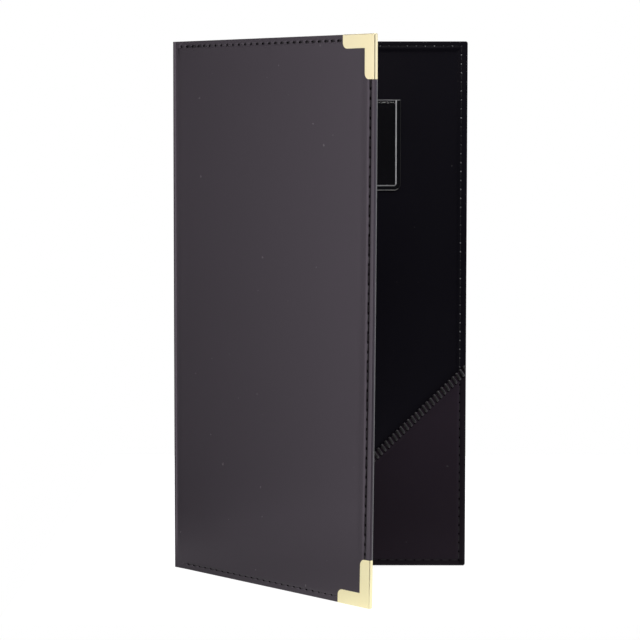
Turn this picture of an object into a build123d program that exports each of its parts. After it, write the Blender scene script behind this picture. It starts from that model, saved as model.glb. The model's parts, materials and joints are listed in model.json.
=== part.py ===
from build123d import *
import os
from math import atan2, cos, degrees, floor, hypot, radians, sin, tan

# A guest check presenter: two leatherette-covered boards joined by a soft spine, a card pocket
# and a laced corner pocket inside the back cover, and two metal corners on the front cover.
# It stands on its lower edge, partly open. The origin is the middle of the back cover's lower
# edge, +Z is up, and the back cover faces -Y. All sizes are in millimetres.

# Covers
cover_height = 254.0
cover_width = 138.4        # hinge line to free edge
hinge_spacing = 6.0        # between the two hinge lines, across the spine
opening_angle = 47.0       # between the covers as the presenter stands
corner_round = 0.8         # at the free corners of the skin

# Sheet stock
skin_gauge = 0.4           # outer leatherette
board_gauge = 0.7
lining_gauge = 0.4
hem_width = 3.6            # skin turned in behind the board
edge_round = 0.35          # where the skin wraps the board
lining_inset = 0.5         # lining's edge to the cover's edge
board_start = 5.0          # hinge line to the board: the strip between them bends
board_ease = 0.1           # board's edges to the skin round them
fold_clearance = 0.3       # between the skins of two bodies at a hinge line
lining_fold_room = 0.9     # hinge line to the end of each lining

# Corner pocket, in the lower free corner of the back cover
mouth_rise = 98.2          # mouth's upper end above the lower edge
mouth_run = 101.5          # mouth's lower end from the free edge
pocket_gauge = 0.4
pocket_seam = 3.2          # flattened margin that is sewn to the cover
pocket_lift = 0.3          # how far the panel stands off its margin
mouth_band = 5.4           # folded hem along the mouth

# Lacing over the mouth
lace_pitch = 2.5
lace_width = 1.7
lace_gauge = 0.3
lace_reach = 4.2           # mouth's edge to the row of slots
lace_lean = 8.0            # degrees, of each turn on the face
lace_ease = 0.1            # slot's walls to the lace
lace_end_room = 4.6        # bare hem at each end of the lacing

# Card pocket, clear vinyl sealed on three sides
card_pocket_width = 91.0
card_pocket_height = 43.2
card_free_margin = 32.1    # pocket to the free edge
card_top_margin = 28.1     # pocket's mouth to the upper edge
card_gap = 0.3             # slot for the card
vinyl_gauge = 0.2
border_width = 2.1
seal_depth = 1.2           # vinyl held inside the border
border_round = 2.2

# Metal corners
arm_length = 20.4
arm_width = 6.2
metal_gauge = 0.25
arm_round = 2.7            # at the free ends of the arms
tip_round = 1.0
bend_radius = 0.3

# Depths, from a cover's outer face inwards
board_depth = skin_gauge
hem_depth = board_depth + board_gauge
seam_depth = hem_depth + skin_gauge          # top of the turned-in hem
field_depth = hem_depth + lining_gauge       # lining's face between the hems
cover_depth = seam_depth + lining_gauge      # lining's face over the hems
panel_depth = cover_depth + pocket_lift      # underside of the raised pocket panel
band_depth = panel_depth + pocket_gauge      # panel's face
lace_depth = band_depth + pocket_gauge       # face of the folded hem

# Hinge lines: both lie in the middle of the outer skin. Each takes half of the fold.
fold_angle = (180 - opening_angle) / 2
back_hinge = Vector(-cover_width / 2, cover_depth / 2 - skin_gauge / 2)
strip_direction = Vector(-1, 0).rotate(Axis.Z, fold_angle)
front_direction = Vector(-1, 0).rotate(Axis.Z, 2 * fold_angle)
front_inward = front_direction.rotate(Axis.Z, 90)
front_hinge = back_hinge + strip_direction * hinge_spacing

# Each cover's plane lies on its outer face: X runs from the hinge line to the free edge and
# Z inwards. Y runs up on the back cover and down on the front one.
back_cover = Plane(
    origin=back_hinge + Vector(0, skin_gauge / 2),
    x_dir=(1, 0, 0),
    z_dir=(0, -1, 0),
)
front_cover = Plane(
    origin=front_hinge - front_inward * (skin_gauge / 2) + Vector(0, 0, cover_height),
    x_dir=front_direction,
    z_dir=front_inward,
)


def span(left, right, bottom, top, mode=Mode.ADD):
    """A rectangle given by its four sides, in the sketch that is open."""
    with Locations(((left + right) / 2, (bottom + top) / 2)):
        Rectangle(right - left, top - bottom, mode=mode)


def make_skin(cover):
    """Leatherette over the outer face, wrapped round three edges and turned in behind."""
    with BuildPart() as skin:
        with BuildSketch(cover) as outline:
            span(skin_gauge / 2 + fold_clearance, cover_width, 0, cover_height)
            fillet(outline.vertices().group_by(Axis.X)[-1], corner_round)
        extrude(amount=seam_depth)
        with BuildSketch(cover.offset(board_depth)):
            span(0, cover_width - skin_gauge, skin_gauge, cover_height - skin_gauge)
        extrude(amount=board_gauge, mode=Mode.SUBTRACT)
        with BuildSketch(cover.offset(hem_depth)):
            span(0, cover_width - hem_width, hem_width, cover_height - hem_width)
        extrude(amount=skin_gauge, mode=Mode.SUBTRACT)
        with BuildSketch(cover.offset(board_depth)):
            span(0, board_start, 0, cover_height)
        extrude(amount=seam_depth - board_depth, mode=Mode.SUBTRACT)
        outer_face = skin.faces().sort_by(Axis(cover.origin, cover.z_dir))[0]
        hinge_side = outer_face.edges().sort_by(Axis(cover.origin, cover.x_dir))[0]
        fillet([e for e in outer_face.edges() if e != hinge_side], edge_round)
    return skin


def make_board(cover):
    """Stiff board inside the cover."""
    edge = skin_gauge + board_ease
    with BuildPart() as board:
        with BuildSketch(cover.offset(board_depth)):
            span(board_start, cover_width - edge, edge, cover_height - edge)
        extrude(amount=board_gauge)
    return board


def make_lining(cover):
    """Inner sheet: over the hems at the margins, down onto the board, and down again
    onto the skin in the strip that bends."""
    riser_start = board_start - lining_gauge
    right = cover_width - lining_inset
    top = cover_height - lining_inset
    step = hem_width + lining_gauge
    with BuildPart() as lining:
        with BuildSketch(cover.offset(board_depth)):
            span(riser_start, right, lining_inset, top)
        extrude(amount=cover_depth - board_depth)
        with BuildSketch(cover.offset(board_depth)):
            span(board_start, cover_width, 0, cover_height)
        extrude(amount=board_gauge, mode=Mode.SUBTRACT)
        with BuildSketch(cover.offset(hem_depth)):
            span(board_start, cover_width, 0, cover_height)
            span(
                board_start,
                cover_width - hem_width,
                hem_width,
                cover_height - hem_width,
                mode=Mode.SUBTRACT,
            )
        extrude(amount=skin_gauge, mode=Mode.SUBTRACT)
        with BuildSketch(cover.offset(field_depth)):
            span(0, cover_width - step, step, cover_height - step)
        extrude(amount=cover_depth - field_depth, mode=Mode.SUBTRACT)
        with BuildSketch(cover.offset(board_depth)):
            span(lining_fold_room, riser_start, lining_inset, top)
        extrude(amount=lining_gauge)
    return lining


back_skin = make_skin(back_cover)
back_board = make_board(back_cover)
back_lining = make_lining(back_cover)
front_skin = make_skin(front_cover)
front_board = make_board(front_cover)
front_lining = make_lining(front_cover)

# Spine: a strip of skin that turns about both hinge lines, and its lining.
spine_strip = Plane(
    origin=(back_hinge + front_hinge) / 2,
    x_dir=strip_direction,
    z_dir=(0, 0, 1),
)

with BuildPart() as spine_skin:
    with BuildSketch(spine_strip):
        SlotCenterToCenter(hinge_spacing, skin_gauge)
    extrude(amount=cover_height)

with BuildPart() as spine_lining:
    with BuildSketch(spine_strip.offset(lining_inset)):
        with Locations((0, (skin_gauge + lining_gauge) / 2)):
            Rectangle(hinge_spacing - 2 * lining_fold_room, lining_gauge)
    extrude(amount=cover_height - 2 * lining_inset)

# Corner pocket. Its mouth runs across the corner, and the panel lies below and beyond it.
# On the mouth's plane X runs along the mouth, upwards, and Y points out of the pocket.
mouth_angle = degrees(atan2(mouth_rise, mouth_run))
mouth_length = hypot(mouth_rise, mouth_run)
mouth_plane = Plane(
    origin=back_cover.from_local_coords(Vector(cover_width - mouth_run / 2, mouth_rise / 2)),
    x_dir=back_cover.x_dir.rotate(Axis(back_cover.origin, back_cover.z_dir), mouth_angle),
    z_dir=back_cover.z_dir,
)
lace_turns = floor((mouth_length - 2 * lace_end_room - lace_width) / lace_pitch)
lace_shift = (lace_reach + lace_gauge) * tan(radians(lace_lean))


def pocket_corner(inset, mouth_inset=0.0, mode=Mode.ADD):
    """The pocket's triangle, with its two sewn sides moved in from the cover's edges and its
    mouth moved in from the mouth line."""
    share = 1 - mouth_inset * mouth_length / (mouth_rise * mouth_run)
    rise = mouth_rise * share
    run = mouth_run * share
    right = cover_width - inset
    Polygon(
        (right, inset),
        (right, rise - inset * rise / run),
        (cover_width - run + inset * run / rise, inset),
        align=None,
        mode=mode,
    )


def slot_row(count):
    """Places for the lace's slots, on the mouth's plane."""
    return GridLocations(lace_pitch, 0, count, 1)


with BuildPart() as pocket_panel:
    with BuildSketch(back_cover.offset(cover_depth)):
        pocket_corner(lining_inset)
    extrude(amount=pocket_lift + pocket_gauge)
    # the sewn margin lies flat on the cover
    with BuildSketch(back_cover.offset(cover_depth + pocket_gauge)):
        pocket_corner(0)
        pocket_corner(pocket_seam, mode=Mode.SUBTRACT)
    extrude(amount=pocket_lift, mode=Mode.SUBTRACT)
    # hollow for the checks, open at the mouth
    with BuildSketch(back_cover.offset(cover_depth)):
        pocket_corner(pocket_seam + pocket_gauge)
    extrude(amount=pocket_lift, mode=Mode.SUBTRACT)
    # hem folded over along the mouth, free of the cover from end to end
    with BuildSketch(back_cover.offset(panel_depth)):
        pocket_corner(lining_inset)
        pocket_corner(0, mouth_band, mode=Mode.SUBTRACT)
    extrude(amount=lace_depth - panel_depth)
    with BuildSketch(back_cover.offset(cover_depth)):
        pocket_corner(0)
        pocket_corner(0, mouth_band, mode=Mode.SUBTRACT)
    extrude(amount=pocket_lift, mode=Mode.SUBTRACT)
    with BuildSketch(mouth_plane.offset(panel_depth)):
        with slot_row(lace_turns):
            with Locations((0, -lace_reach)):
                Rectangle(lace_width + 2 * lace_ease, lace_gauge + 2 * lace_ease)
    extrude(amount=lace_depth - panel_depth, mode=Mode.SUBTRACT)

# Lace: from each slot it leans over the face to the mouth, goes round the edge and runs
# behind the hem to the next slot.
inner_end = -lace_reach - lace_gauge / 2
half_width = lace_width / 2


def lace_run(start, end):
    """One slanted length of lace from the slots' row, at start, to the mouth's edge, at end."""
    Polygon(
        (start - half_width, inner_end),
        (start + half_width, inner_end),
        (end + half_width, lace_gauge),
        (end - half_width, lace_gauge),
        align=None,
    )


with BuildPart() as pocket_lacing:
    with BuildSketch(mouth_plane.offset(lace_depth)):
        with slot_row(lace_turns):
            lace_run(0, lace_shift)
    extrude(amount=lace_gauge)
    with BuildSketch(mouth_plane.offset(panel_depth)):
        with slot_row(lace_turns - 1):
            lace_run(lace_pitch / 2, lace_shift - lace_pitch / 2)
    extrude(amount=-lace_gauge)
    with BuildSketch(mouth_plane.offset(panel_depth)):
        with slot_row(lace_turns):
            with Locations((0, -lace_reach)):
                Rectangle(lace_width, lace_gauge)
            with Locations((lace_shift, lace_gauge / 2)):
                Rectangle(lace_width, lace_gauge)
    extrude(amount=lace_depth - panel_depth)

# Card pocket: a clear sheet whose sides and foot are sealed into a border
card_right = cover_width - card_free_margin
card_left = card_right - card_pocket_width
card_top = cover_height - card_top_margin
card_bottom = card_top - card_pocket_height
sheet_inset = border_width - seal_depth
window_depth = field_depth + card_gap

with BuildPart() as card_window:
    with BuildSketch(back_cover.offset(window_depth)):
        span(card_left + sheet_inset, card_right - sheet_inset, card_bottom + sheet_inset, card_top)
    extrude(amount=vinyl_gauge)

with BuildPart() as card_border:
    with BuildSketch(back_cover.offset(field_depth)) as border_outline:
        span(card_left, card_right, card_bottom, card_top)
        fillet(border_outline.vertices().group_by(Axis.Y)[0], border_round)
        span(
            card_left + border_width,
            card_right - border_width,
            card_bottom + border_width,
            card_top,
            mode=Mode.SUBTRACT,
        )
    extrude(amount=card_gap + 2 * vinyl_gauge)
    with BuildSketch(back_cover.offset(window_depth)):
        span(card_left + sheet_inset, card_right - sheet_inset, card_bottom + sheet_inset, card_top)
    extrude(amount=vinyl_gauge, mode=Mode.SUBTRACT)


def make_corner(seat):
    """Metal corner folded over one corner of a cover. The seat lies in the middle of the
    cover's thickness, with its origin at the corner and both arms along its axes."""
    with BuildPart() as corner:
        with BuildSketch(seat) as plate:
            span(-metal_gauge, arm_length, -metal_gauge, arm_length)
            span(arm_width, arm_length, arm_width, arm_length, mode=Mode.SUBTRACT)
            inner_ends = [
                v
                for v in plate.vertices()
                if abs(v.X - v.Y) > arm_length - arm_width - metal_gauge
                and min(v.X, v.Y) > 0
            ]
            fillet(inner_ends, arm_round)
            fillet(plate.vertices().sort_by_distance((0, 0))[0], tip_round)
        extrude(amount=cover_depth / 2 + metal_gauge, both=True)
        centres = {e: seat.to_local_coords(e.center()) for e in corner.faces().filter_by(seat).edges()}
        fillet([e for e, centre in centres.items() if min(centre.X, centre.Y) < 0], bend_radius)
        with BuildSketch(seat):
            span(0, 2 * arm_length, 0, 2 * arm_length)
        extrude(amount=cover_depth / 2, both=True, mode=Mode.SUBTRACT)
    return corner


front_middle = front_cover.offset(cover_depth / 2)
corner_top = make_corner(
    Plane(
        origin=front_middle.from_local_coords(Vector(cover_width, 0)),
        x_dir=-front_direction,
        z_dir=-front_inward,
    )
)
corner_bottom = make_corner(
    Plane(
        origin=front_middle.from_local_coords(Vector(cover_width, cover_height)),
        x_dir=-front_direction,
        z_dir=front_inward,
    )
)

pieces = {
    "back_skin": back_skin,
    "back_board": back_board,
    "back_lining": back_lining,
    "spine_skin": spine_skin,
    "spine_lining": spine_lining,
    "front_skin": front_skin,
    "front_board": front_board,
    "front_lining": front_lining,
    "pocket_panel": pocket_panel,
    "pocket_lacing": pocket_lacing,
    "card_window": card_window,
    "card_border": card_border,
    "corner_top": corner_top,
    "corner_bottom": corner_bottom,
}
os.makedirs("parts", exist_ok=True)
for name, piece in pieces.items():
    piece.part.label = name
    export_step(piece.part, f"parts/{name}.step")
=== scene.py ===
import json
import math

import bmesh
import bpy
from mathutils import Matrix, Vector


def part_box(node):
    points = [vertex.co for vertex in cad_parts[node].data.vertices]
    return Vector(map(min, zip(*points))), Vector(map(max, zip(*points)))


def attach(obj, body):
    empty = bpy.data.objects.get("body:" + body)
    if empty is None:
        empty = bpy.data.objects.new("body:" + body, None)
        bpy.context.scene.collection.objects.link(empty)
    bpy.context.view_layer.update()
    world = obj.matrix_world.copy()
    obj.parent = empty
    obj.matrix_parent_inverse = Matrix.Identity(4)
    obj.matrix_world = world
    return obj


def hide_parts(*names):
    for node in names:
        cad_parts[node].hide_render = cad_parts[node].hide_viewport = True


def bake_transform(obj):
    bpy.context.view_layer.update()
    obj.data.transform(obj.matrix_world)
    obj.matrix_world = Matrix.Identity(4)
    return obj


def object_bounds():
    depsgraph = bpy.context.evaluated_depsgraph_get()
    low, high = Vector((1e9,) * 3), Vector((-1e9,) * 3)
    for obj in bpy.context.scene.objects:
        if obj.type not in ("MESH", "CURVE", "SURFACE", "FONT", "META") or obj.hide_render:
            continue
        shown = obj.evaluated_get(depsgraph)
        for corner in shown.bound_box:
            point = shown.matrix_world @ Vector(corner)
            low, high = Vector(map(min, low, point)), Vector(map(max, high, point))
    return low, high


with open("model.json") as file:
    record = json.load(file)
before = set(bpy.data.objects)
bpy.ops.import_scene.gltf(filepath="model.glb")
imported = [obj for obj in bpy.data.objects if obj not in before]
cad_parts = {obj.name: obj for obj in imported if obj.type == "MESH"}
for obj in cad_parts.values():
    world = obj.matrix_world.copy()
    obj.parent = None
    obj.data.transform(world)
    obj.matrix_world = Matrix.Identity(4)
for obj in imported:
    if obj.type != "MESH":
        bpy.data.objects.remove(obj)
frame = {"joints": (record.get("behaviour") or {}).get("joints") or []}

cadLow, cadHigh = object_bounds()
mm = 0.001  # pieces are modelled in millimetres on their cover and scaled as they are placed
alongX = Vector((1, 0, 0))
alongY = Vector((0, 1, 0))
alongZ = Vector((0, 0, 1))
tiny = 0.001  # two lengths closer than this are the same


def hingePoint(name):
    joint = next(j for j in frame["joints"] if j["name"] == name)
    return Vector((joint["pos_m"][0], joint["pos_m"][1], 0)) / mm


def coverMatrix(hinge, along, inward, foot):
    # X from the hinge line to the free edge, Z inwards from the outer face, Y makes it right-handed
    across = inward.cross(along)
    turn = Matrix((along, across, inward)).transposed().to_4x4()
    origin = hinge - inward * (skinGauge / 2) + Vector((0, 0, foot))
    return Matrix.Scale(mm, 4) @ Matrix.Translation(origin) @ turn


skinLow, skinHigh = (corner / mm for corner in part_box("back_skin"))
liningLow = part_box("back_lining")[0] / mm
backHinge = hingePoint("spine_hinge")
frontHinge = hingePoint("cover_hinge")
stripDirection = (frontHinge - backHinge).normalized()
foldAngle = Vector((-1, 0, 0)).angle(stripDirection)
frontAlong = Matrix.Rotation(foldAngle, 3, "Z") @ stripDirection

coverHeight = skinHigh.z - skinLow.z
coverWidth = skinHigh.x - backHinge.x
outerY = skinHigh.y
skinGauge = 2 * (outerY - backHinge.y)
seamDepth = outerY - skinLow.y            # where the lining's rim starts
coverDepth = outerY - liningLow.y         # the lining's face at the rim
liningGauge = coverDepth - seamDepth
boardDepth = seamDepth - liningGauge      # the board's inner face
halfSpine = (frontHinge - backHinge).length / 2

back = {
    "body": "back",
    "matrix": coverMatrix(backHinge, Vector((1, 0, 0)), Vector((0, -1, 0)), 0),
    "margins": {"start": 2.8, "end": 2.3, "free": 3.0},   # Y runs up
    "drift": 0.0,
    "warp": (0.0, 0.0),
    "sag": (-0.55, 0.0),      # of the upper edge, at the spine and beyond
}
front = {
    "body": "front",
    "matrix": coverMatrix(
        frontHinge, frontAlong, Matrix.Rotation(math.pi / 2, 3, "Z") @ frontAlong, coverHeight
    ),
    "margins": {"start": 2.5, "end": 2.6, "free": 2.7},   # Y runs down
    "drift": 0.8,                                          # the seam wanders inwards lower down
    "warp": (0.6, 3.2),                                    # free edge sprung open, top and foot
    "sag": (0.55, 0.55),
}

lie = {
    "sagReach": (-1.2, 12),   # from the middle of the spine to a little beyond the fold
    "warpPower": 1.8,         # the free edge springs open more and more down the cover
}


def smooth(low, high, value):
    t = min(max((value - low) / (high - low), 0), 1)
    return t * t * (3 - 2 * t)


def bump(value, width):
    return math.exp(-((value / width) ** 2))


def cut(bm, direction, places, within=None, across=None):
    # cuts the whole mesh, or only the faces whose middle passes the test
    faces = [f for f in bm.faces if within is None or within(f.calc_center_bounds())]
    around = {e for f in faces for e in f.edges}
    corners = {v for f in faces for v in f.verts}
    geometry = [*corners, *around, *faces]
    for place in places:
        geometry = bmesh.ops.bisect_plane(
            bm,
            geom=geometry,
            dist=0.0005,
            plane_co=(across or Vector()) + direction * place,
            plane_no=direction,
        )["geom"]


def bevel(bm, edges, radius, segments):
    bmesh.ops.bevel(
        bm,
        geom=edges,
        offset=radius,
        offset_type="OFFSET",
        segments=segments,
        profile=0.5,
        affect="EDGES",
        material=-1,
    )


def block(low, high):
    bm = bmesh.new()
    bmesh.ops.create_cube(bm, size=1)
    bmesh.ops.scale(bm, vec=Vector(high) - Vector(low), verts=bm.verts)
    bmesh.ops.translate(bm, vec=(Vector(low) + Vector(high)) / 2, verts=bm.verts)
    return bm


def near(a, b):
    return abs(a - b) < tiny


def thinOut(places, gap):
    kept = []
    for place in sorted(places):
        if not kept or place - kept[-1] > gap:
            kept.append(place)
    return kept


def finishPiece(name, bm, cover, material, replaced=()):
    top, foot = cover["warp"]
    spineSag, coverSag = cover["sag"]
    for vert in bm.verts:
        x, y = max(vert.co.x, 0), vert.co.y / coverHeight
        sag = spineSag + (coverSag - spineSag) * smooth(*lie["sagReach"], vert.co.x)
        vert.co.z -= (top + (foot - top) * max(y, 0) ** lie["warpPower"]) * x / coverWidth
        vert.co.y += sag * (y if cover is back else 1 - y)
    bmesh.ops.transform(bm, matrix=cover["matrix"], verts=bm.verts)
    bmesh.ops.recalc_face_normals(bm, faces=bm.faces)
    mesh = bpy.data.meshes.new(name)
    bm.to_mesh(mesh)
    bm.free()
    mesh.polygons.foreach_set("use_smooth", [True] * len(mesh.polygons))
    piece = bpy.data.objects.new(name, mesh)
    bpy.context.scene.collection.objects.link(piece)
    mesh.materials.append(material)
    if replaced:
        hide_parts(*replaced)
    return piece


class Wire:
    # an output socket that can be added to, multiplied and so on
    def __init__(self, finish, socket):
        self.finish = finish
        self.socket = socket

    def maths(self, operation, first, second):
        return self.finish.node("ShaderNodeMath", {"operation": operation}, {0: first, 1: second})

    def __add__(self, other):
        return self.maths("ADD", self, other)

    def __radd__(self, other):
        return self.maths("ADD", other, self)

    def __sub__(self, other):
        return self.maths("SUBTRACT", self, other)

    def __rsub__(self, other):
        return self.maths("SUBTRACT", other, self)

    def __mul__(self, other):
        return self.maths("MULTIPLY", self, other)

    def __rmul__(self, other):
        return self.maths("MULTIPLY", other, self)


class Finish:
    def __init__(self, name):
        self.material = bpy.data.materials.new(name)
        self.material.use_nodes = True
        self.tree = self.material.node_tree
        self.shader = self.tree.nodes["Principled BSDF"]

    def node(self, kind, settings=None, inputs=None, output=0):
        made = self.tree.nodes.new(kind)
        for key, value in (settings or {}).items():
            if key == "stops":
                ramp = made.color_ramp
                while len(ramp.elements) < len(value):
                    ramp.elements.new(0.5)
                for element, (place, level) in zip(ramp.elements, value):
                    element.position = place
                    element.color = (level, level, level, 1)
            else:
                setattr(made, key, value)
        for key, value in (inputs or {}).items():
            self.feed(made.inputs[key], value)
        return Wire(self, made.outputs[output])

    def feed(self, socket, value):
        if isinstance(value, Wire):
            self.tree.links.new(value.socket, socket)
        else:
            socket.default_value = value

    def set(self, **values):
        for key, value in values.items():
            self.feed(self.shader.inputs[key.replace("_", " ")], value)

    def place(self, scale=(1, 1, 1)):
        point = self.node("ShaderNodeTexCoord", output="Object")
        return self.node("ShaderNodeMapping", inputs={"Vector": point, "Scale": scale})

    def noise(self, point, scale, detail=2.0, roughness=0.5):
        values = {"Vector": point, "Scale": scale, "Detail": detail, "Roughness": roughness}
        return self.node("ShaderNodeTexNoise", inputs=values)

    def ramp(self, value, *stops):
        return self.node("ShaderNodeValToRGB", {"stops": stops}, {"Fac": value})

    def fade(self, value, low, high):
        values = {"Value": value, "From Min": low, "From Max": high}
        return self.node("ShaderNodeMapRange", {"interpolation_type": "SMOOTHSTEP"}, values)

    def axis(self, point, index):
        return self.node("ShaderNodeSeparateXYZ", inputs={"Vector": point}, output=index)

    def blendColours(self, factor, first, second):
        first, second = (c if isinstance(c, Wire) else (*c, 1) for c in (first, second))
        values = {0: factor, 6: first, 7: second}
        return self.node("ShaderNodeMix", {"data_type": "RGBA"}, values, output=2)

    def bumpOf(self, height, distance, strength=1.0):
        values = {"Height": height, "Distance": distance, "Strength": strength}
        return self.node("ShaderNodeBump", inputs=values)


def leatherette(name, settings):
    finish = Finish(name)
    point = finish.place()
    cloud = finish.noise(point, settings["cloudScale"], 3)
    grain = finish.noise(point, settings["grainScale"], 4, 0.6)
    pores = finish.node(
        "ShaderNodeTexVoronoi",
        {"feature": "SMOOTH_F1"},
        {"Vector": point, "Scale": settings["poreScale"], "Smoothness": 0.4},
    )
    dust = finish.ramp(finish.noise(point, settings["dustScale"], 1), (0.79, 0), (0.82, 1))
    shade = finish.blendColours(cloud, settings["dark"], settings["light"])
    dustAndPaintedShade = finish.blendColours(dust * settings["dustAmount"], shade, (0.25, 0.24, 0.24))
    if "marginShade" in settings:
        # darker outside the seam, on the back cover's free and lower margins
        seamX, seamZ = settings["marginShade"]
        outside = finish.fade(finish.axis(point, 0), seamX - 0.0003, seamX + 0.0003)
        below = finish.fade(finish.axis(point, 2), seamZ + 0.0003, seamZ - 0.0003)
        dustAndPaintedShade = finish.blendColours((outside + below) * 0.5, dustAndPaintedShade, (0.003, 0.0025, 0.003))
    # painted shade: the pocket's leather is made darker towards its foot, where the front cover
    # shades it
    if "footPaintedShade" in settings:
        foot, top, share = settings["footPaintedShade"]
        lower = finish.fade(finish.axis(point, 2), top, foot)
        dustAndPaintedShade = finish.blendColours(lower * share, dustAndPaintedShade, (0, 0, 0))
    height = grain * 0.6 + pores * 0.4
    finish.set(
        Base_Color=dustAndPaintedShade,
        Roughness=settings["roughness"] + (cloud - 0.5) * 0.08 + (grain - 0.5) * 0.06,
        Normal=finish.bumpOf(height, settings["grainHeight"]),
        IOR=settings["ior"],
        Specular_Tint=(*settings["sheen"], 1),
    )
    return finish.material


outerLeather = leatherette("outerLeather", {
    "dark": (0.0020, 0.0010, 0.0022),
    "light": (0.0034, 0.0019, 0.0036),
    "sheen": (0.97, 0.82, 1.0),
    "cloudScale": 9,
    "grainScale": 1400,
    "poreScale": 1900,
    "dustScale": 330,
    "dustAmount": 0.35,
    "roughness": 0.33,
    "grainHeight": 0.00002,
    "ior": 1.67,
})
innerLeather = leatherette("innerLeather", {
    "dark": (0.0030, 0.0026, 0.0050),
    "light": (0.0050, 0.0044, 0.0076),
    "sheen": (0.88, 0.82, 1.0),
    "cloudScale": 11,
    "grainScale": 1500,
    "poreScale": 2100,
    "dustScale": 300,
    "dustAmount": 0.25,
    "roughness": 0.38,
    "grainHeight": 0.00002,
    "ior": 1.42,
})
pocketLeather = leatherette("pocketLeather", {
    "dark": (0.0290, 0.0208, 0.0300),
    "light": (0.0390, 0.0290, 0.0405),
    "marginShade": (0.0662, 0.0029),
    # painted shade towards the foot: foot height, top height and share
    "footPaintedShade": (0.015, 0.085, 0.42),
    "sheen": (1.0, 0.85, 1.0),
    "cloudScale": 14,
    "grainScale": 1500,
    "poreScale": 2100,
    "dustScale": 290,
    "dustAmount": 0.2,
    "roughness": 0.5,
    "grainHeight": 0.00003,
    "ior": 1.20,
})


def threadFinish(name, colour, twist, dimmestGlint=1.0):
    # the last argument is the darkest that single stitches get beside the colour; stitches made
    # brighter at random are painted glints
    finish = Finish(name)
    point = finish.place()
    fuzz = finish.noise(point, 2600, 3)
    strands = finish.node(
        "ShaderNodeTexWave",
        {"wave_type": "BANDS", "bands_direction": "DIAGONAL"},
        {"Vector": point, "Scale": twist, "Distortion": 1.5, "Detail": 1.0},
    )
    lit = finish.fade(finish.noise(point, 190, 1), 0.35, 0.62) * (1 - dimmestGlint) + dimmestGlint
    finish.set(
        Base_Color=finish.blendColours((strands * 0.4 + 0.6) * lit, (0, 0, 0), colour),
        Roughness=0.62 + fuzz * 0.2,
        Normal=finish.bumpOf(strands + fuzz * 0.3, 0.00006),
    )
    return finish.material


seamThread = threadFinish("seamThread", (0.016, 0.016, 0.017), 1500)
# pale knots on the lining, brighter at random: painted glints where the stitches catch the light
knotGlintThread = threadFinish("knotGlintThread", (0.34, 0.34, 0.35), 1500, 0.15)
laceCord = leatherette("laceCord", {
    "dark": (0.026, 0.024, 0.026),
    "light": (0.050, 0.047, 0.050),
    "sheen": (1.0, 1.0, 1.0),
    "cloudScale": 300,
    "grainScale": 1800,
    "poreScale": 2500,
    "dustScale": 300,
    "dustAmount": 0.1,
    "roughness": 0.32,
    "grainHeight": 0.00004,
    "ior": 1.5,
})


def goldFinish(name, dark, light, roughness):
    finish = Finish(name)
    point = finish.place()
    cloud = finish.noise(point, 60, 3)
    scuffs = finish.noise(finish.place((1, 1, 6)), 900, 4, 0.7)
    finish.set(
        Base_Color=finish.blendColours(cloud, dark, light),
        Metallic=1.0,
        Roughness=roughness + cloud * 0.08 + scuffs * 0.05,
        Normal=finish.bumpOf(scuffs * 0.3 + cloud, 0.00002),
    )
    return finish.material


def vinylFinish():
    finish = Finish("clearVinyl")
    ripple = finish.noise(finish.place(), 35, 2)
    finish.set(
        Base_Color=(0.012, 0.012, 0.014, 1),
        Roughness=0.06 + ripple * 0.05,
        Normal=finish.bumpOf(ripple, 0.0003),
        Alpha=0.3,
        IOR=1.5,
    )
    return finish.material


def borderFinish():
    finish = Finish("sealedBorder")
    point = finish.place()
    weave = finish.noise(point, 1800, 2)
    finish.set(
        Base_Color=finish.blendColours(weave, (0.004, 0.004, 0.006), (0.008, 0.008, 0.010)),
        Roughness=0.24 + weave * 0.1,
        Normal=finish.bumpOf(weave, 0.00002),
        IOR=1.3,
    )
    return finish.material


def boardFinish():
    finish = Finish("greyBoard")
    point = finish.place()
    fibres = finish.noise(point, 700, 5, 0.7)
    finish.set(
        Base_Color=finish.blendColours(fibres, (0.16, 0.14, 0.12), (0.30, 0.27, 0.23)),
        Roughness=0.85 + fibres * 0.1,
        Normal=finish.bumpOf(fibres, 0.0001),
    )
    return finish.material


def holeFinish():
    # near-black beads that stand in for the shade inside needle and lace holes: painted shade
    finish = Finish("needleHole")
    holeShadeMottle = finish.noise(finish.place(), 2400, 2)
    finish.set(
        Base_Color=finish.blendColours(holeShadeMottle, (0.0004, 0.0004, 0.0005), (0.0012, 0.0012, 0.0013)),
        Roughness=0.85 + holeShadeMottle * 0.1,
        IOR=1.1,
    )
    return finish.material


def weldFinish(name, dark, light, roughness, foot=None):
    # foot is a painted highlight colour along the foot of the card pocket, and the height where it
    # begins
    finish = Finish(name)
    cloud = finish.noise(finish.place((1, 1, 0.3)), 420, 3, 0.6)
    shade = finish.blendColours(cloud, dark, light)
    if foot:
        colour, height = foot
        lower = finish.fade(finish.axis(finish.place(), 2), height + 0.0006, height)
        shade = finish.blendColours(lower, shade, colour)
    finish.set(
        Base_Color=shade,
        Roughness=roughness + cloud * 0.1,
        Normal=finish.bumpOf(cloud, 0.00008),
        IOR=1.5,
    )
    return finish.material


needleHole = holeFinish()
# a pale strip down the free edges: painted highlight along the edge
paintedEdgeHighlight = weldFinish("paintedEdgeHighlight", (0.17, 0.17, 0.175), (0.42, 0.42, 0.43), 0.5)
weldFootHighlight = ((0.26, 0.26, 0.27), 0.1853)
rimFootHighlight = ((0.40, 0.40, 0.39), 0.1832)
# the weld bead and the lip are painted pale as highlights, dimmer along the foot
paleWeldHighlight = weldFinish("paleWeldHighlight", (0.48, 0.48, 0.50), (0.80, 0.80, 0.83), 0.2, weldFootHighlight)
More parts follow.
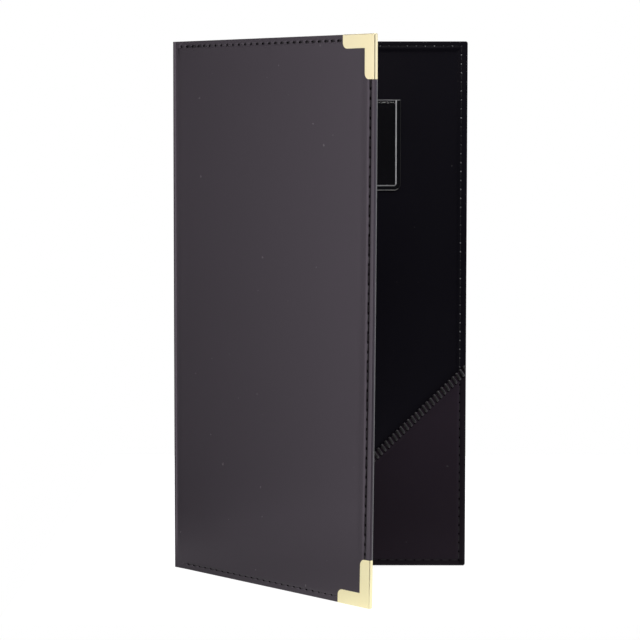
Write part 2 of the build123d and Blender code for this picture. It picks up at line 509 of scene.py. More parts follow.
# the vinyl's cut edge is dark, with a painted highlight along the foot
vinylEdgeWithFootHighlight = weldFinish("vinylEdgeWithFootHighlight", (0.012, 0.012, 0.013), (0.03, 0.03, 0.031), 0.3, rimFootHighlight)
paleGold = goldFinish("paleGold", (0.84, 0.73, 0.44), (0.91, 0.82, 0.56), 0.26)
# same brass as the top corner; the foot corner's copy is brighter as painted light, and rougher
footGoldPaintedLight = goldFinish("footGoldPaintedLight", (1.0, 0.89, 0.53), (1.0, 0.94, 0.62), 0.38)
clearVinyl = vinylFinish()
sealedBorder = borderFinish()
greyBoard = boardFinish()
print("materials made")


seam = {
    "pitch": 4.26,
    "start": 5.6,                   # first stitch from the hinge line
    "reach": 7,                     # the sheet is flat further in than this
    "begins": (3.0, 5.2),           # relief grows in from the hinge line
    "follow": ((-2.1, -1.75), (1.75, 7)),   # strip of the sheet that follows a wandering seam
    "strip": 1.0,                   # half width of the strip with finer cuts
    "holeCuts": (-0.3, 0, 0.3),
    "valley": 0.13,
    "endShare": 0.3,                # of that depth, across a cover's ends
    "valleyWidth": (0.8, 0.5),      # inside the seam, in the margin
    "lip": (0.07, 1.0, 3.2),        # swelling inside the seam: height, start, width
    "pit": 0.30,
    "pitWidth": 0.40,
    "thread": (0.62, 0.17, 0.12),   # short of the hole, half width, half height
    "hole": (0.80, 0.42, 0.14),     # half sizes
    "knot": (0.46, 0.30, 0.20),
    "endSize": 0.8,                 # of those sizes, across a cover's ends
    "holeSunk": 0.02,
}


def seamRuns(cover):
    # the three straight runs of a cover's seam: first hole, step and number of steps
    margins = cover["margins"]
    right = coverWidth - margins["free"]
    low = margins["start"]
    high = coverHeight - margins["end"]
    lean = cover["drift"]
    corners = [
        (Vector((seam["start"], low, 0)), Vector((right, low, 0))),
        (Vector((right, low, 0)), Vector((right - lean, high, 0))),
        (Vector((right - lean, high, 0)), Vector((seam["start"], high, 0))),
    ]
    runs = []
    for first, last in corners:
        count = round((last - first).length / seam["pitch"])
        runs.append((first, (last - first) / count, count))
    return runs


def seamOffsets(cover, x, y):
    # signed distances inside the seam along the free edge and inside those of the two ends
    margins = cover["margins"]
    lean = cover["drift"] * y / coverHeight
    ends = min(y - margins["start"], coverHeight - y - margins["end"])
    return coverWidth - x - margins["free"] - lean, ends


def pitAt(cover, x, y):
    nearest = math.inf
    for first, step, count in seamRuns(cover):
        length = step.length
        along = (Vector((x, y, 0)) - first).dot(step) / length
        index = min(max(round(along / length), 0), count)
        hole = first + step * index
        nearest = min(nearest, math.hypot(x - hole.x, y - hole.y))
    return bump(nearest, seam["pitWidth"])


def seamRelief(cover, x, y):
    # how far the stitching pulls the sheet in
    beside, ends = seamOffsets(cover, x, y)
    offset = min(beside, ends)
    if offset > seam["reach"] or x < seam["begins"][0]:
        return 0
    valley = seam["valley"] * (1 if beside < ends else seam["endShare"])
    inner, outer = seam["valleyWidth"]
    lip, start, width = seam["lip"]
    if offset > 0:
        depth = (valley + lip) * bump(offset, inner) - lip * bump(max(offset - start, 0), width)
    else:
        depth = valley * bump(offset, outer)
    return smooth(*seam["begins"], x) * (depth + seam["pit"] * pitAt(cover, x, y))


def seamShift(cover, x, y):
    # carries the straight cuts beside the free edge over to the seam where it wanders
    offset = coverWidth - x - cover["margins"]["free"]
    outside, inside = seam["follow"]
    weight = smooth(*outside, offset) * (1 - smooth(*inside, offset))
    return cover["drift"] * weight * y / coverHeight


leather = {
    "edgeRound": 0.13,
    "seamRound": 0.10,
    "cornerRound": 0.9,
    "foldReach": 1.9,      # each side of a hinge line
    "boardStart": 5.0,
    "hollow": 0.015,       # skin sunk between fold and board
    "hollowPlace": (3.3, 1.6),      # its middle and width
    "marginDrop": 0.13,
    "marginReach": 4.5,
    "marginBegins": (3, 8),
    "bow": -0.08,          # fold let out at mid height
    "bowWidth": 8,
    "cutGap": 0.12,        # closer cuts are left out
    "rimRoom": 0.9,        # no cuts of the relief so close to the rim
    "rimInset": 0.06,      # lining's rim behind the leather's
    "rimRound": 0.10,
    "hem": 3.6,
    "innerPull": 0.35,     # of the outer seam's depth, on the lining
    "rows": 40,
}


def marginDistance(x, y):
    return min(coverWidth - x, y, coverHeight - y)


def marginDrop(x, y):
    return leather["marginDrop"] * (1 - smooth(0, leather["marginReach"], marginDistance(x, y)))


def innerSurface(x, y):
    # where leather and lining meet, measured from the outer face
    overBoard = smooth(leather["boardStart"] - 0.7, leather["boardStart"] + 0.4, x)
    hem = 1 - smooth(leather["hem"] - 0.5, leather["hem"] + 1.8, marginDistance(x, y))
    return skinGauge + (boardDepth - skinGauge + (seamDepth - boardDepth) * hem) * overBoard


def foldPoint(point):
    # turns a point of the flat sheet about the hinge line, which lies in the middle of the skin
    reach = leather["foldReach"]
    turn = foldAngle * (1 - smooth(-reach, reach, point.x))
    middle = 1 - abs(2 * point.y / coverHeight - 1) ** 3
    bow = leather["bow"] * middle * bump(point.x, leather["bowWidth"])
    height = point.z - skinGauge / 2 + bow
    x = point.x * math.cos(turn) + height * math.sin(turn)
    z = skinGauge / 2 - point.x * math.sin(turn) + height * math.cos(turn)
    return Vector((x, point.y, z))


foldCuts = [0.25, 0.5, 0.75, 1.0, 1.3, 1.6, 1.9, 2.2]
foldCuts = [0] + foldCuts + [-place for place in foldCuts]
boardCuts = [2.6, 3.2, 3.8, 4.3, 4.6, 4.9, 5.2, 5.5, 6.0, 6.6, 8.0]
hemCuts = [3.1, 3.4, 3.75, 4.1, 4.45, 4.8, 5.2, 5.6, 6.5, 8.0]
valleyCuts = [-1.7, -1.2, -0.8, -0.45, -0.2, 0, 0.2, 0.45, 0.8, 1.2, 1.7, 2.3, 3.2, 4.6, 6.6]


def cutSheet(bm, cover):
    margins = cover["margins"]
    low = margins["start"]
    high = coverHeight - margins["end"]
    right = coverWidth - margins["free"]
    room = leather["rimRoom"]
    rows = [coverHeight * (i + 1) / (leather["rows"] + 1) for i in range(leather["rows"])]
    xPlaces = foldCuts + boardCuts + [coverWidth - place for place in hemCuts]
    xPlaces += [right - place for place in valleyCuts if right - place < coverWidth - room]
    yPlaces = [low + place for place in valleyCuts if low + place > room]
    yPlaces += [high - place for place in valleyCuts if high - place < coverHeight - room]
    yPlaces += hemCuts + [coverHeight - place for place in hemCuts] + rows
    cut(bm, alongX, thinOut(xPlaces, leather["cutGap"]))
    cut(bm, alongY, thinOut(yPlaces, leather["cutGap"]))
    # finer cuts at the holes, in the seam's own strips
    holesX, holesY = [], []
    for first, step, count in seamRuns(cover):
        for index in range(count + 1):
            hole = first + step * index
            for nudge in seam["holeCuts"]:
                if abs(step.x) > abs(step.y):
                    holesX.append(hole.x + nudge)
                else:
                    holesY.append(hole.y + nudge)
    strip = seam["strip"]
    cut(bm, alongX, thinOut(holesX, 0.05), lambda c: min(abs(c.y - low), abs(c.y - high)) < strip)
    cut(bm, alongY, thinOut(holesY, 0.05), lambda c: abs(c.x - right) < strip)


def sheetBlock(cover, inset, depth, outerRound, innerRound):
    left = -halfSpine
    right = coverWidth - inset
    bm = block((left, inset, 0), (right, coverHeight - inset, depth))
    corners = [
        e for e in bm.edges
        if all(near(v.co.x, right) for v in e.verts)
        and not near(e.verts[0].co.z, e.verts[1].co.z)
    ]
    bevel(bm, corners, leather["cornerRound"], 4)
    for level, radius in ((0, outerRound), (depth, innerRound)):
        rim = [
            e for e in bm.edges
            if all(near(v.co.z, level) for v in e.verts)
            and not all(near(v.co.x, left) for v in e.verts)
        ]
        bevel(bm, rim, radius, 4)
    cutSheet(bm, cover)
    return bm


def coverLeather(name, cover, replaced):
    bm = sheetBlock(cover, 0, seamDepth, leather["edgeRound"], leather["seamRound"])
    hollowMiddle, hollowWidth = leather["hollowPlace"]
    for vert in bm.verts:
        x, y, z = vert.co
        x -= seamShift(cover, x, y)
        share = z / seamDepth
        hollow = leather["hollow"] * bump(x - hollowMiddle, hollowWidth)
        outer = marginDrop(x, y) * smooth(*leather["marginBegins"], x)
        outer += seamRelief(cover, x, y) + hollow
        vert.co = foldPoint(Vector((x, y, outer * (1 - share) + innerSurface(x, y) * share)))
    return finishPiece(name, bm, cover, outerLeather, replaced)


def coverLining(name, cover, replaced):
    bm = sheetBlock(cover, leather["rimInset"], liningGauge, 0.1, leather["rimRound"])
    for vert in bm.verts:
        x, y, z = vert.co
        x -= seamShift(cover, x, y)
        share = z / liningGauge
        level = innerSurface(x, y) + z - share * leather["innerPull"] * seamRelief(cover, x, y)
        vert.co = foldPoint(Vector((x, y, level)))
    return finishPiece(name, bm, cover, innerLeather, replaced)


frontLeather = coverLeather("frontLeather", front, ["front_skin"])
backLeather = coverLeather("backLeather", back, ["back_skin", "spine_skin"])
frontLining = coverLining("frontLining", front, ["front_lining"])
backLining = coverLining("backLining", back, ["back_lining", "spine_lining"])


board = {"ease": 0.1, "rim": 0.06}


def coverBoard(name, cover, replaced):
    edge = skinGauge + board["ease"]
    low = (leather["boardStart"], edge, skinGauge)
    bm = block(low, (coverWidth - edge, coverHeight - edge, boardDepth))
    bevel(bm, bm.edges[:], board["rim"], 2)
    cut(bm, alongY, [coverHeight * (i + 1) / 25 for i in range(24)])
    piece = finishPiece(name, bm, cover, greyBoard, [replaced])
    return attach(piece, cover["body"])


edgeStrip = {
    "reach": (0.2, 0.005),   # from the free edge
    "depth": (0.42, 0.06),   # from the lining's face
    "ends": 1.0,
    "rim": 0.03,
}


def edgeHighlightStrip(name, cover):
    # a pale strip down the free edge, just inside the lining's face: a painted highlight along the
    # edge
    inner, outer = edgeStrip["reach"]
    deep, shallow = edgeStrip["depth"]
    ends = edgeStrip["ends"]
    low = (coverWidth - inner, ends, coverDepth - deep)
    bm = block(low, (coverWidth - outer, coverHeight - ends, coverDepth - shallow))
    bevel(bm, bm.edges[:], edgeStrip["rim"], 2)
    cut(bm, alongY, [coverHeight * (i + 1) / 25 for i in range(24)])
    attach(finishPiece(name, bm, cover, paintedEdgeHighlight), cover["body"])


edgeHighlightStrip("frontEdgeHighlight", front)
edgeHighlightStrip("backEdgeHighlight", back)
coverBoard("frontBoard", front, "front_board")
coverBoard("backBoard", back, "back_board")
print("leather, linings and boards made")


def bendOnFold(piece, cover):
    # bakes the piece's placement into its mesh; the sheet was already turned over the hinge line,
    # from the cover to the middle of the spine, as it was built
    if cover is back:
        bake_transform(piece)
    else:
        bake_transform(piece)


for piece in (frontLeather, frontLining):
    bendOnFold(piece, front)
for piece in (backLeather, backLining):
    bendOnFold(piece, back)


def seamBeads(name, cover, size, level, material, atHoles, wanted=None):
    # low rounded beads on the holes of a cover's seam, or one between each hole and the next
    bm = bmesh.new()
    for first, step, count in seamRuns(cover):
        turn = Matrix.Rotation(math.atan2(step.y, step.x), 4, "Z")
        share = 1 if abs(step.y) > abs(step.x) else seam["endSize"]
        length = size[0] * share if atHoles else step.length / 2 - size[0]
        for index in range(count):
            middle = first + step * (index if atHoles else index + 0.5)
            if wanted and not wanted(middle.x, middle.y):
                continue
            place = Matrix.Translation((middle.x, middle.y, level(middle.x, middle.y)))
            shape = Matrix.Diagonal((length, size[1] * share, size[2], 1))
            bmesh.ops.create_uvsphere(
                bm, u_segments=8, v_segments=5, radius=1, matrix=place @ turn @ shape
            )
    piece = finishPiece(name, bm, cover, material)
    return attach(piece, cover["body"])


def outerSeam(name, cover):
    def level(x, y):
        return marginDrop(x, y) + seam["valley"]

    def floor(x, y):
        return level(x, y) - seam["holeSunk"]

    seamBeads(name + "Thread", cover, seam["thread"], level, seamThread, False)
    seamBeads(name + "Holes", cover, seam["hole"], floor, needleHole, True)


def innerSeam(name, cover, lift=lambda x, y: 0):
    def level(x, y):
        return coverDepth - seam["valley"] * leather["innerPull"] + lift(x, y)

    seamBeads(name + "Thread", cover, seam["thread"], level, seamThread, False)
    seamBeads(
        name + "Knots", cover, seam["knot"], level, knotGlintThread, True,
        lambda x, y: lift(x, y) == 0,
    )


outerSeam("frontOuter", front)
innerSeam("frontInner", front)
outerSeam("backOuter", back)
print("stitches made")

pocket = {
    "rise": 98.2,
    "run": 101.5,
    "inset": 0.5,
    "gauge": 0.4,
    "seamWidth": 2.9,
    "lift": 0.35,
    "puff": 0.35,
    "puffStart": 4,        # from the edges
    "puffReach": (14, 22),    # from the edges and from the mouth
    "clear": 0.01,         # of the lining
    "riseReach": 1.3,      # from the sewn margin up to the raised panel
    "deepest": 0.3,        # the seam's relief on the panel
    "hemWidth": 3.7,
    "hemLift": 0.36,
    "hemStep": (1.0, 1.2),    # before and beyond the hem's width
    "mouthRound": 0.45,    # of the gauge
    "rimRound": 0.15,
    "spare": 4,            # of the block that is cut along the mouth
    "grid": 7,
    "hole": (0.45, 0.34, 0.10),
}
mouthFoot = Vector((coverWidth - pocket["run"], 0, 0))
mouthTop = Vector((coverWidth, pocket["rise"], 0))
mouthAlong = (mouthTop - mouthFoot).normalized()
mouthAcross = Vector((-mouthAlong.y, mouthAlong.x, 0))   # out of the pocket
mouthLength = (mouthTop - mouthFoot).length


def pocketPanel():
    inset = pocket["inset"]
    thick = pocket["gauge"]
    spare = pocket["spare"]
    bm = block((mouthFoot.x - spare, inset, 0), (coverWidth - inset, mouthTop.y + spare, thick))
    bmesh.ops.bisect_plane(
        bm,
        geom=bm.verts[:] + bm.edges[:] + bm.faces[:],
        plane_co=mouthFoot,
        plane_no=mouthAcross,
        clear_outer=True,
    )
    openEdges = [e for e in bm.edges if e.is_boundary]
    bmesh.ops.edgeloop_fill(bm, edges=openEdges)
    mouthRim = [
        e for e in bm.edges
        if all(abs((v.co - mouthFoot).dot(mouthAcross)) < tiny for v in e.verts)
        and near(e.verts[0].co.z, e.verts[1].co.z)
    ]
    bevel(bm, mouthRim, thick * pocket["mouthRound"], 3)
    outerRim = [
        e for e in bm.edges
        if all(near(v.co.z, thick) for v in e.verts)
        and (all(near(v.co.x, coverWidth - inset) for v in e.verts)
             or all(near(v.co.y, inset) for v in e.verts))
    ]
    bevel(bm, outerRim, pocket["rimRound"], 3)
    steps = [1.2, 1.7, 2.1, 2.5, 2.8, 3.1, 3.4, 3.8, 4.4, 5.2, 6.4]
    grid = pocket["grid"]
    columns = [coverWidth - s for s in steps] + [coverWidth - grid * i for i in range(2, 15)]
    lines = steps + [grid * i for i in range(2, 14)]
    cut(bm, alongX, thinOut(columns, leather["cutGap"]))
    cut(bm, alongY, thinOut(lines, leather["cutGap"]))
    hem = pocket["hemWidth"]
    reaches = (0.5, 1.2, 3.2, 4.2, 4.6, 5.0, 5.4, 5.8, 6.2, 6.7, 8.0)
    cut(bm, -mouthAcross, reaches, across=mouthFoot)
    before, beyond = pocket["hemStep"]
    fromEdges, fromMouth = pocket["puffReach"]
    for vert in bm.verts:
        x, y, z = vert.co
        reach = (mouthFoot - vert.co).dot(mouthAcross)
        edge = min(coverWidth - x, y)
        raised = smooth(pocket["seamWidth"], pocket["seamWidth"] + pocket["riseReach"], edge)
        inside = 1 - math.exp(-max(edge - pocket["puffStart"], 0) / fromEdges)
        level = coverDepth + pocket["clear"] + raised * pocket["lift"]
        level += pocket["puff"] * inside * smooth(0, fromMouth, reach)
        folded = 1 - smooth(hem - before, hem + beyond, reach)
        vert.co.z = level + z + (z / thick) * pocket["hemLift"] * folded
        relief = min(seamRelief(back, x, y), pocket["deepest"])
        vert.co.z -= (z / thick) * relief * (1 - raised)
    piece = finishPiece("pocketFront", bm, back, pocketLeather, ["pocket_panel"])
    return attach(piece, "back")


pocketFace = coverDepth + pocket["lift"] + pocket["gauge"] + pocket["hemLift"]  # of the hem
pocketPanel()

lacing = {
    "pitch": 2.5,
    "width": 1.35,
    "thick": 0.95,
    "reach": 2.9,
    "lean": 9.0,
    "endRoom": 0.3,
    "bend": 0.4,
    "proud": 0.1,         # middle of the lace over the hem's face
    "under": 0.6,         # of the pocket's lift, behind the hem
    "wrapOut": 0.4,       # of its half height, past the mouth
    "tail": 1.5,          # end of a turn, back behind the hem
    "round": 0.48,        # of the thickness
    "trim": 0.6,          # ends taken into the seams at the cover's edges
    "hole": (0.34, 0.55, 0.12),
    "holeRows": (3.6, 6),     # bare mouth at its foot and in all
    "holeClear": 0.15,
    "holeMargin": 1.2,    # none so close to the cover's edges
    "holeProud": 0.02,
}
barEnd = 0.1              # short end piece of a bent bar


def bentBar(bm, stations, width, thick, rounding):
    # a bar laid along stations of (place, direction of its width, direction of its thickness),
    # with short end pieces, so that the shading of its ends stays there
    (start, side, up), (end, endSide, endUp) = stations[0], stations[-1]
    afterStart = start + (stations[1][0] - start).normalized() * barEnd
    beforeEnd = end + (stations[-2][0] - end).normalized() * barEnd
    stations = [stations[0], (afterStart, side, up), *stations[1:-1]]
    stations += [(beforeEnd, endSide, endUp), (end, endSide, endUp)]
    bar = block((0, -width / 2, -thick / 2), (len(stations) - 1, width / 2, thick / 2))
    bevel(bar, [e for e in bar.edges if not near(e.verts[0].co.x, e.verts[1].co.x)], rounding, 3)
    cut(bar, alongX, range(1, len(stations) - 1))
    for vert in bar.verts:
        place, side, up = stations[round(vert.co.x)]
        vert.co = place + side * vert.co.y + up * vert.co.z
    mesh = bpy.data.meshes.new("bar")
    bar.to_mesh(mesh)
    bar.free()
    bm.from_mesh(mesh)
    bpy.data.meshes.remove(mesh)


def laceCourse():
    # one turn of lace as (distance out of the pocket, height, slope in degrees)
    face = pocketFace + lacing["proud"]
    under = coverDepth + pocket["lift"] * lacing["under"]
    bend = lacing["bend"]
    reach = lacing["reach"]
    wrap = (face - under) / 2
    course = [(-reach, under + (face - bend - under) * i / 3, 90) for i in range(3)]
    for i in range(5):
        turn = math.radians(90 * i / 4)
        course.append((
            -reach + bend * (1 - math.cos(turn)),
            face - bend + bend * math.sin(turn),
            90 - math.degrees(turn),
        ))
    course += [(-reach + bend + (reach - bend) * i / 5, face, 0) for i in range(1, 5)]
    for i in range(7):
        turn = math.radians(30 * i)
        out = wrap * math.sin(turn) * lacing["wrapOut"]
        course.append((out, face - wrap + wrap * math.cos(turn), -30 * i))
    course.append((-lacing["tail"], face - 2 * wrap, -180))
    return course


def mouthLacing():
    course = laceCourse()
    bm = bmesh.new()
    room = mouthLength - 2 * lacing["endRoom"] - lacing["width"]
    turns = int(room / lacing["pitch"]) + 1
    lean = math.tan(math.radians(lacing["lean"]))
    for index in range(turns):
        start = mouthLength / 2 + (index - (turns - 1) / 2) * lacing["pitch"]
        stations = []
        for out, height, slope in course:
            tilt = math.radians(slope)
            place = mouthFoot + mouthAlong * (start + lean * (out + lacing["reach"]))
            place += mouthAcross * out + alongZ * height
            up = alongZ * math.cos(tilt) - mouthAcross * math.sin(tilt)
            stations.append((place, mouthAlong, up))
        bentBar(bm, stations, lacing["width"], lacing["thick"], lacing["thick"] * lacing["round"])
    for edge, outwards in ((coverWidth - lacing["trim"], alongX), (-lacing["trim"], -alongY)):
        bmesh.ops.bisect_plane(
            bm,
            geom=bm.verts[:] + bm.edges[:] + bm.faces[:],
            plane_co=outwards * edge,
            plane_no=outwards,
            clear_outer=True,
        )
    bmesh.ops.holes_fill(bm, edges=[e for e in bm.edges if e.is_boundary], sides=0)
    piece = finishPiece("mouthLacing", bm, back, laceCord, ["pocket_lacing"])
    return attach(piece, "back")


def laceHoles():
    # the stretched ends of the slots, beside the foot of each turn, as black beads of painted shade
    bm = bmesh.new()
    first, bare = lacing["holeRows"]
    pitch = lacing["pitch"]
    turns = int((mouthLength - bare) / pitch)
    for index in range(turns):
        start = first + index * pitch + (mouthLength - bare - turns * pitch) / 2
        out = lacing["reach"] + lacing["holeClear"]
        place = mouthFoot + mouthAlong * start - mouthAcross * out
        if min(coverWidth - place.x, place.y) < lacing["holeMargin"]:
            continue
        place.z = pocketFace + lacing["holeProud"]
        turn = Matrix((mouthAlong, mouthAcross, alongZ)).transposed().to_4x4()
        shape = Matrix.Diagonal((*lacing["hole"], 1))
        bmesh.ops.create_uvsphere(
            bm, u_segments=10, v_segments=5, radius=1,
            matrix=Matrix.Translation(place) @ turn @ shape,
        )
    piece = finishPiece("laceHoles", bm, back, needleHole)
    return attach(piece, "back")


mouthLacing()
laceHoles()


def pocketStep(x, y):
    # stitches over the pocket's margin lie a layer higher
    reach = (mouthFoot - Vector((x, y, 0))).dot(mouthAcross)
    return pocket["gauge"] if reach > 0 else 0


innerSeam("backInner", back, pocketStep)
seamBeads(
    "pocketHoles", back, pocket["hole"], lambda x, y: coverDepth + pocket["gauge"],
    needleHole, True, lambda x, y: pocketStep(x, y) > 0,
)
print("pocket and lacing made")


card = {
    "left": 15.3,
    "right": 106.3,
    "low": 182.7,
    "high": 225.9,
    "border": 2.1,
    "rise": 0.62,
    "bend": 2.1,          # of the band's middle line, at the two lower corners
    "seal": 0.9,          # window's edge under the band
    "gap": 0.3,
    "gauge": 0.2,
    "edgeRound": 0.16,
    "slack": (0.22, 0.06),    # of the sheet, and its waves' share
    "bead": (0.6, 0.3, 0.13),     # width, thickness and rounding of the weld
    "rim": (0.28, 0.3, 0.12),     # of the sheet's cut edge
    "lip": (0.18, 0.18, 0.07),    # of the edge over the mouth
    "lipEnds": 0.3,
}
fieldDepth = boardDepth + liningGauge


def uStations(inset, height, bend):
    # down the left side, along the foot and up the right side
    left = card["left"] + inset
    right = card["right"] - inset
    low = card["low"] + inset
    top = card["high"]
    stations = []

    def add(x, y, angle):
        side = Vector((math.cos(angle), math.sin(angle), 0))
        stations.append((Vector((x, y, height)), side, alongZ))

    for i in range(8):
        add(left, top + (low + bend - top) * i / 8, math.pi)
    for i in range(9):
        angle = math.pi + math.pi / 2 * i / 8
        add(left + bend + bend * math.cos(angle), low + bend + bend * math.sin(angle), angle)
    for i in range(1, 16):
        add(left + bend + (right - left - 2 * bend) * i / 16, low, math.pi * 1.5)
    for i in range(9):
        angle = math.pi * 1.5 + math.pi / 2 * i / 8
        add(right - bend + bend * math.cos(angle), low + bend + bend * math.sin(angle), angle)
    for i in range(1, 9):
        add(right, low + bend + (top - low - bend) * i / 8, math.pi * 2)
    return stations


def cardBorder():
    bm = bmesh.new()
    rise = card["rise"]
    stations = uStations(card["border"] / 2, fieldDepth + rise / 2, card["bend"])
    bentBar(bm, stations, card["border"], rise, card["edgeRound"])
    piece = finishPiece("cardBorder", bm, back, sealedBorder, ["card_border"])
    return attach(piece, "back")


def cardWindow():
    seal = card["seal"]
    low = Vector((card["left"] + seal, card["low"] + seal, fieldDepth + card["gap"]))
    high = Vector((card["right"] - seal, card["high"], low.z + card["gauge"]))
    bm = block(low, high)
    cut(bm, alongX, [low.x + (high.x - low.x) * i / 36 for i in range(1, 36)])
    cut(bm, alongY, [low.y + (high.y - low.y) * i / 18 for i in range(1, 18)])
    slack, waves = card["slack"]
    for vert in bm.verts:
        x = (vert.co.x - low.x) / (high.x - low.x)
        y = (vert.co.y - low.y) / (high.y - low.y)
        loose = math.sqrt(abs(math.sin(math.pi * x))) * smooth(0, 0.5, y)
        wave = math.sin(9 * x + 2.4 * y) + 0.6 * math.sin(17 * x - 5 * y)
        vert.co.z += loose * (slack + waves * wave)
    piece = finishPiece("cardWindow", bm, back, clearVinyl, ["card_window"])
    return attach(piece, "back")


def cardWelds():
    # a bead inside the band, painted pale as a highlight, and the cut edge of the vinyl: round the
    # band it is dark with a painted highlight along the foot, and over the mouth it is painted pale
    # as a highlight
    face = fieldDepth + card["rise"]
    inner = bmesh.new()
    stations = uStations(card["border"] + 0.05, face - 0.06, card["bend"] - 1.0)
    bentBar(inner, stations, *card["bead"])
    outer = bmesh.new()
    bentBar(outer, uStations(0.05, face - 0.12, card["bend"] + 1.0), *card["rim"])
    left, right = card["left"] + card["lipEnds"], card["right"] - card["lipEnds"]
    lip = [
        (Vector((left + (right - left) * i / 12, card["high"], face)), alongY, alongZ)
        for i in range(13)
    ]
    bentBar(inner, lip, *card["lip"])
    for name, bm, material in (("cardWeld", inner, paleWeldHighlight), ("cardRim", outer, vinylEdgeWithFootHighlight)):
        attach(finishPiece(name, bm, back, material), "back")


cardBorder()
cardWindow()
cardWelds()
print("card pocket made")


corner = {
    "width": 6.2,
    "gauge": 0.17,
    "ease": -0.06,        # pressed into the leather
    "armRound": 2.7,
    "tipRound": 0.5,
    "foldRound": 0.44,
    "rimRound": 0.07,
}


def metalCorner(name, foot, arms, material, replaced):
    # folded with the cover's corner at the origin and both arms along the axes
    c = corner
    out = c["gauge"] + c["ease"]
    low, high = -out, coverDepth + out
    width = c["width"]
    bm = block((-out, -out, low), (*arms, high))
    tip = [e for e in bm.edges if all(near(v.co.x, -out) and near(v.co.y, -out) for v in e.verts)]
    bevel(bm, tip, c["tipRound"], 6)
    cut(bm, alongX, [width])
    cut(bm, alongY, [width])
    spare = []
    for face in bm.faces:
        middle = face.calc_center_median()
        atEnd = near(middle.x, arms[0]) or near(middle.y, arms[1])
        if min(middle.x, middle.y) > width or atEnd:
            spare.append(face)
    bmesh.ops.delete(bm, geom=spare, context="FACES")
    ends = [
        v for v in bm.verts
        if (near(v.co.x, arms[0]) and near(v.co.y, width))
        or (near(v.co.y, arms[1]) and near(v.co.x, width))
    ]
    bmesh.ops.bevel(
        bm, geom=ends, offset=c["armRound"], offset_type="OFFSET", segments=10,
        profile=0.5, affect="VERTICES", material=-1,
    )
    folds = [e for e in bm.edges if len(e.link_faces) == 2 and e.calc_face_angle(0) > 1.4]
    bevel(bm, folds, c["foldRound"], 5)
    bmesh.ops.recalc_face_normals(bm, faces=bm.faces)
    bmesh.ops.solidify(bm, geom=bm.faces[:], thickness=c["gauge"])
    rims = [e for e in bm.edges if e.calc_face_angle(0) > 1.3]
    bevel(bm, rims, c["rimRound"], 2)
    for vert in bm.verts:
        x, y, z = vert.co
        vert.co = Vector((coverWidth - x, coverHeight - y if foot else y, z))
    piece = finishPiece(name, bm, front, material, [replaced])
    shading = piece.modifiers.new("evenShading", "WEIGHTED_NORMAL")
    shading.keep_sharp = True
    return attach(piece, "front")


metalCorner("topCorner", False, (20.2, 19.9), paleGold, "corner_top")
metalCorner("footCorner", True, (20.7, 21.5), footGoldPaintedLight, "corner_bottom")
print("metal corners made")


studio = {
    "tableSides": (-0.14, 2.6),
    "tableEnds": (-0.14, 0.4),
    "tableColour": (0.35, 0.35, 0.35),
    "tableSeen": 0.82,     # added where the camera sees the table
    "tableMirrored": (0.20, 0.75),   # glow seen only in reflections, left of the object and right of it: a painted reflection, dimmer on the left
    "backdrop": 1.0,
    "room": 0.04,
}


def table():
    left, right = studio["tableSides"]
    nearEnd, farEnd = studio["tableEnds"]
    bm = bmesh.new()
    bmesh.ops.create_grid(bm, x_segments=1, y_segments=1, size=0.5)
    bmesh.ops.scale(bm, vec=(right - left, farEnd - nearEnd, 1), verts=bm.verts)
    middle = Vector(((left + right) / 2, (nearEnd + farEnd) / 2, cadLow.z))
    bmesh.ops.translate(bm, vec=middle, verts=bm.verts)
    mesh = bpy.data.meshes.new("table")
    bm.to_mesh(mesh)
    bm.free()
    piece = bpy.data.objects.new("table", mesh)
    bpy.context.scene.collection.objects.link(piece)
    finish = Finish("paleTable")
    seen = finish.node("ShaderNodeLightPath", output="Is Camera Ray")
    mirrored = finish.node("ShaderNodeLightPath", output="Is Glossy Ray")
    through = finish.node("ShaderNodeLightPath", output="Is Transmission Ray")
    dim, bright = studio["tableMirrored"]
    # painted reflection: the table glows in glossy rays only, dimmer left of the object than right
    # of it
    across = finish.fade(finish.axis(finish.place(), 0), -0.08, 0.06)
    finish.set(
        Base_Color=(*studio["tableColour"], 1),
        Roughness=0.9,
        Emission_Color=(seen + through) * studio["tableSeen"]
        + mirrored * (across * (bright - dim) + dim),
        Emission_Strength=1.0,
    )
    mesh.materials.append(finish.material)


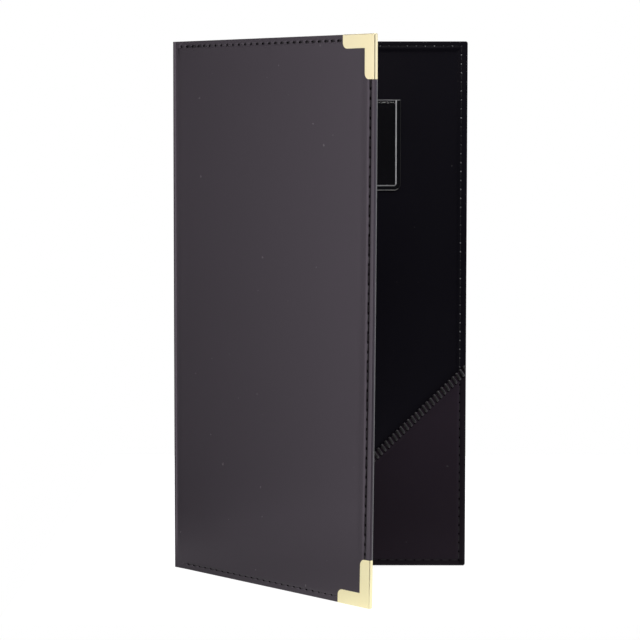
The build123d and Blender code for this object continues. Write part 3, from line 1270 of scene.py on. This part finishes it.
def softLight(name, place, aim, width, height, glow, colour=(1, 1, 1)):
    # glow is the panel's brightness as it shows in a mirror
    lamp = bpy.data.lights.new(name, "AREA")
    lamp.shape = "RECTANGLE"
    lamp.size = width
    lamp.size_y = height
    lamp.color = colour
    lamp.energy = glow * math.pi * width * height
    holder = bpy.data.objects.new(name, lamp)
    bpy.context.scene.collection.objects.link(holder)
    holder.location = place
    holder.rotation_euler = (Vector(aim) - Vector(place)).to_track_quat("-Z", "Y").to_euler()


def surroundings():
    # white where the camera looks past the object, a dim room for everything else
    world = bpy.data.worlds.new("studio")
    world.use_nodes = True
    bpy.context.scene.world = world
    tree = world.node_tree
    tree.nodes.clear()
    rays = tree.nodes.new("ShaderNodeLightPath")
    mix = tree.nodes.new("ShaderNodeMixShader")
    out = tree.nodes.new("ShaderNodeOutputWorld")
    tree.links.new(rays.outputs["Is Camera Ray"], mix.inputs[0])
    for index, strength in ((1, studio["room"]), (2, studio["backdrop"])):
        glow = tree.nodes.new("ShaderNodeBackground")
        glow.inputs["Color"].default_value = (1, 1, 1, 1)
        glow.inputs["Strength"].default_value = strength
        tree.links.new(glow.outputs[0], mix.inputs[index])
    tree.links.new(mix.outputs[0], out.inputs["Surface"])


camera = {"lens": 135.68, "place": (-0.0016, -1.1637, 0.2108), "tilt": 4.467, "roll": -0.06}


def placeCamera():
    data = bpy.data.cameras.new("camera")
    data.sensor_width = 36
    data.lens = camera["lens"]
    data.clip_end = 50
    holder = bpy.data.objects.new("camera", data)
    bpy.context.scene.collection.objects.link(holder)
    holder.location = camera["place"]
    tilt = math.radians(90 - camera["tilt"])
    holder.rotation_euler = (tilt, math.radians(camera["roll"]), 0)
    bpy.context.scene.camera = holder


table()
surroundings()
placeCamera()
# place, aim, width, height and glow of each panel
softLight("leftPanel", (-2.2, -0.9, 0.5), (0, -0.9, 0.5), 2.0, 2.2, 1.78)
softLight("rightPanel", (2.2, 0.2, 0.8), (0, 0.2, 0.8), 3.0, 1.6, 1.3, (0.97, 1.0, 1.07))
softLight("topPanel", (0.1, 0, 1.3), (0.1, 0, 0), 2.0, 1.8, 1.9)
softLight("frontPanel", (0.3, -1.6, 2.0), (0, 0, 0.1), 1.4, 0.9, 5.0)
bpy.context.scene.view_settings.view_transform = "Standard"
print("table, light and camera made")
